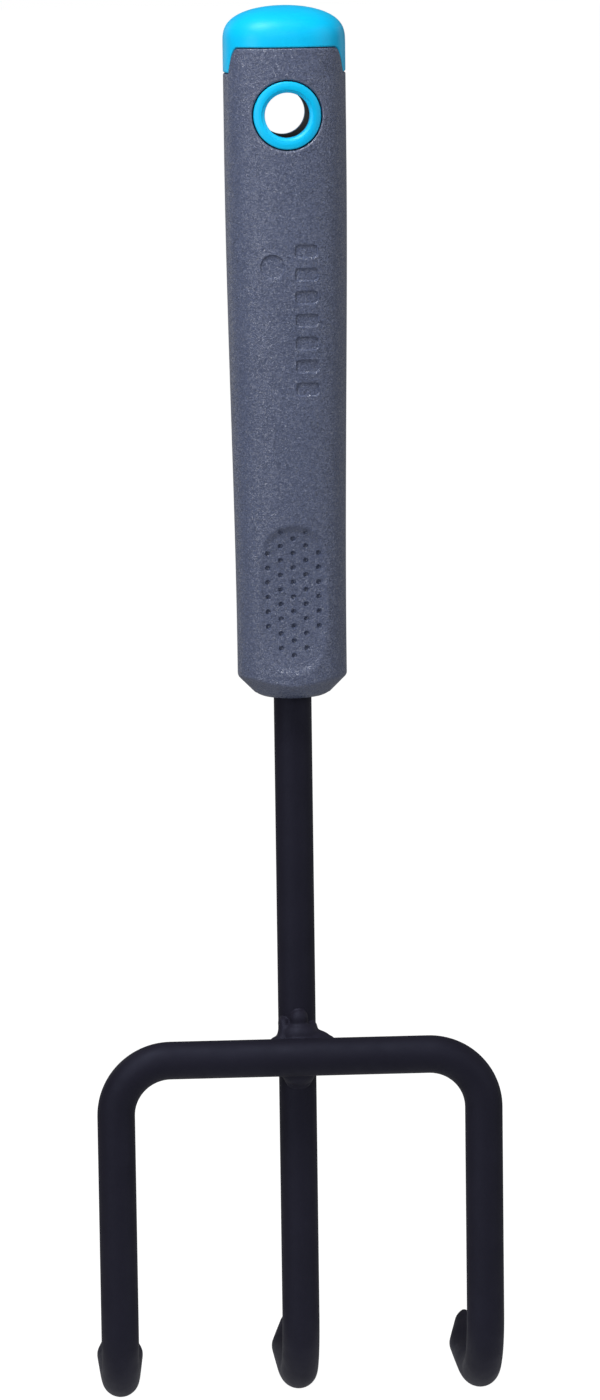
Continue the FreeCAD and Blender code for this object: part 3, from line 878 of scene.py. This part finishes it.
def rod_piece(bm, centre, axis, length, radius):
    turn = Vector((0, 0, 1)).rotation_difference(Vector(axis)).to_matrix().to_4x4()
    place = Matrix.Translation(Vector(centre) * MM) @ turn
    bmesh.ops.create_cone(bm, cap_ends=True, segments=96, radius1=radius * MM, radius2=radius * MM,
                          depth=length * MM, matrix=place)


def weld(name, balls, z_shaft):
    """Weld metal: beads melted into slightly slimmer copies of the two rods, so only the fillet shows."""
    slim, along_cross, along_shaft = ROD_R - 0.12, 30, 22
    bm = bmesh.new()
    for centre, half_sizes in balls:
        ball(bm, centre, half_sizes)
    rod_piece(bm, (0, Y_CROSS, Z_CROSS), (1, 0, 0), along_cross, slim)
    rod_piece(bm, (0, 0, z_shaft), (0, 0, 1), along_shaft, slim)
    mesh = bpy.data.meshes.new(name)
    bm.to_mesh(mesh)
    bm.free()
    obj = add(name, mesh)
    remesh = obj.modifiers.new("melt", "REMESH")
    remesh.mode = "VOXEL"
    remesh.voxel_size = 0.22 * MM
    soften = obj.modifiers.new("soften", "SMOOTH")
    soften.factor = 0.5
    soften.iterations = 26
    bpy.context.view_layer.update()
    apply_modifiers(obj)
    fix_normals(obj, 60.0)
    return obj


def fillet_balls(side, reach, rise):
    """Chain of small balls whose outline falls in a hollow curve from the shaft to the crossbar."""
    r, chain = 1.3, []
    for turn in np.linspace(0, np.pi / 2, 10):
        sunk = r * (0.8 + 0.35 * math.sin(turn))
        x = ROD_R - sunk + reach * (1 - math.cos(turn))
        z = ROD_R - sunk + rise * (1 - math.sin(turn))
        chain.append(((side * x, Y_CROSS + 5.8 - 2.2 * math.sin(turn), Z_CROSS + z), (r, 2.2, r)))
    return chain


def welds():
    """Upper fillet, longer to the right, with its stop on the shaft; and the bead below the crossbar."""
    upper = fillet_balls(-1, 2.4, 3.6) + fillet_balls(1, 4.2, 2.5) + [
        ((1.2, Y_CROSS + 4.6, Z_CROSS + 2.5), (6.4, 3.9, 3.0)),
        ((0.3, Y_CROSS + 4.0, Z_CROSS + 4.4), (4.0, 3.2, 2.6)),
        ((0.2, -4.1, Z_CROSS + 7.7), (2.0, 1.8, 2.1)),
    ]
    lower = [
        ((0.0, Y_CROSS + 4.4, Z_CROSS - 3.6), (4.0, 3.6, 3.6)),
        ((0.0, -3.7, Z_CROSS - 5.4), (3.3, 1.4, 2.6)),
    ]
    return (weld("weld_above_crossbar", upper, Z_CROSS + 9.0),
            weld("weld_below_crossbar", lower, Z_CROSS - 9.0))


# ---------------------------------------------------------------- stage
def floor_material():
    """Pale floor: nearly white to the camera, and throwing a little light up at the tool."""
    n = Nodes("pale_floor")
    cloud = n.noise(90.0, 2.0)
    n.set(Base_Color=n.mix(cloud, (0.14, 0.14, 0.14, 1), (0.17, 0.17, 0.17, 1)), Roughness=0.8)
    # the thrown light falls off with the distance (mm) from the hang hole
    distance = n.tree.nodes.new("ShaderNodeVectorMath")
    distance.operation = "LENGTH"
    n.link(n.place, distance.inputs[0])
    thrown = n.remap(distance.outputs["Value"], 287.0, 340.0, 0.50, 0.13)
    ray = n.tree.nodes.new("ShaderNodeLightPath")
    to_camera = n.maths("MULTIPLY", ray.outputs["Is Camera Ray"], n.maths("SUBTRACT", 0.98, thrown))
    n.set(Emission_Color=(1.0, 1.0, 1.0, 1), Emission_Strength=n.maths("ADD", thrown, to_camera))
    return n.material


def floor():
    reach, z = 12.0, CAD_BOX[0].z - 0.5 * MM
    mesh = bpy.data.meshes.new("floor")
    corners = [(-reach, -reach, z), (reach, -reach, z), (reach, reach, z), (-reach, reach, z)]
    mesh.from_pydata(corners, [], [(0, 1, 2, 3)])
    obj = add("floor", mesh)
    obj.data.materials.append(floor_material())


def world(seen, thrown):
    """White to the camera, dim to everything else, as a cut-out studio shot is."""
    bpy.context.scene.world = bpy.data.worlds.new("studio")
    bpy.context.scene.world.use_nodes = True
    tree = bpy.context.scene.world.node_tree
    background = tree.nodes["Background"]
    background.inputs["Color"].default_value = (1, 1, 1, 1)
    ray = tree.nodes.new("ShaderNodeLightPath")
    mix = tree.nodes.new("ShaderNodeMapRange")
    mix.inputs["To Min"].default_value = thrown
    mix.inputs["To Max"].default_value = seen
    tree.links.new(ray.outputs["Is Camera Ray"], mix.inputs["Value"])
    tree.links.new(mix.outputs["Result"], background.inputs["Strength"])


def soft_light(name, azimuth, elevation, distance, width, height, power, aim_z):
    """Softbox aimed at the tool. Azimuth 0 is in front of it, positive to its right."""
    a, e = math.radians(azimuth), math.radians(elevation)
    back = Vector((math.sin(a) * math.cos(e), -math.cos(a) * math.cos(e), math.sin(e)))
    data = bpy.data.lights.new(name, "AREA")
    data.shape = "RECTANGLE"
    data.size, data.size_y = width, height
    data.energy = power
    lamp = add(name, data)
    lamp.location = Vector((0, 0, aim_z)) + back * distance
    lamp.rotation_mode = "QUATERNION"
    lamp.rotation_quaternion = (-back).to_track_quat("-Z", "Y")


def camera():
    """Long lens, a little above the handle and to its left, rolled by a fraction of a degree."""
    azimuth, elevation, roll = math.radians(3.3), math.radians(8.5), math.radians(-0.765)
    distance, aim = 1.2216, Vector((0.0016, 0.0, -0.1267))
    forward = Vector((
        math.sin(azimuth) * math.cos(elevation),
        math.cos(azimuth) * math.cos(elevation),
        -math.sin(elevation),
    ))
    data = bpy.data.cameras.new("camera")
    data.lens, data.sensor_width = 144.85, 36.0
    obj = add("camera", data)
    obj.location = aim - forward * distance
    obj.rotation_mode = "QUATERNION"
    level = forward.to_track_quat("-Z", "Y")
    obj.rotation_quaternion = level @ Matrix.Rotation(roll, 3, "Z").to_quaternion()
    bpy.context.scene.camera = obj


def studio():
    world(seen=1.0, thrown=0.12)
    soft_light("key", azimuth=-38, elevation=56, distance=0.65,
               width=0.15, height=0.25, power=3.7, aim_z=-0.02)
    soft_light("front", azimuth=-8, elevation=24, distance=1.3,
               width=0.5, height=0.35, power=1.5, aim_z=-0.1)
    soft_light("fill", azimuth=58, elevation=18, distance=1.5,
               width=1.0, height=1.3, power=4.9, aim_z=-0.08)
    soft_light("strip", azimuth=-45, elevation=0, distance=0.8,
               width=0.06, height=0.34, power=1.35, aim_z=0.02)
    soft_light("rear_right", azimuth=128, elevation=8, distance=1.5,
               width=0.6, height=1.0, power=1.1, aim_z=-0.1)
    soft_light("rear_left", azimuth=-150, elevation=8, distance=1.5,
               width=0.6, height=1.0, power=1.1, aim_z=-0.1)
    bpy.context.scene.view_settings.view_transform = "Standard"
    floor()
    camera()


# ---------------------------------------------------------------- assembly
steel = steel_material("coated_steel", (0.0068, 0.0055, 0.0118, 1), (0.0092, 0.0078, 0.0158, 1))
weld_steel = steel_material("coated_weld", (0.0078, 0.0065, 0.0130, 1), (0.0130, 0.0110, 0.0210, 1))
blue = blue_material()

put(centre_tine(), steel, "center_tine_rod")
put(outer_tines(), steel, "outer_tine_rod")
weld_upper, weld_lower = welds()
put(weld_upper, weld_steel, "weld_bead_upper")
put(weld_lower, weld_steel, "weld_bead_lower")
put(grip_sleeve(), grip_material(), "grip_sleeve")
put(butt_cap(), blue, "end_cap")
put(hang_ring("hang_ring_face", -1), blue, "hang_ring_front")
put(hang_ring("hang_ring_back", 1), blue, "hang_ring_rear")
core = frame["nodes"]["handle_core"]
core.data.materials.clear()
core.data.materials.append(core_material())

studio()
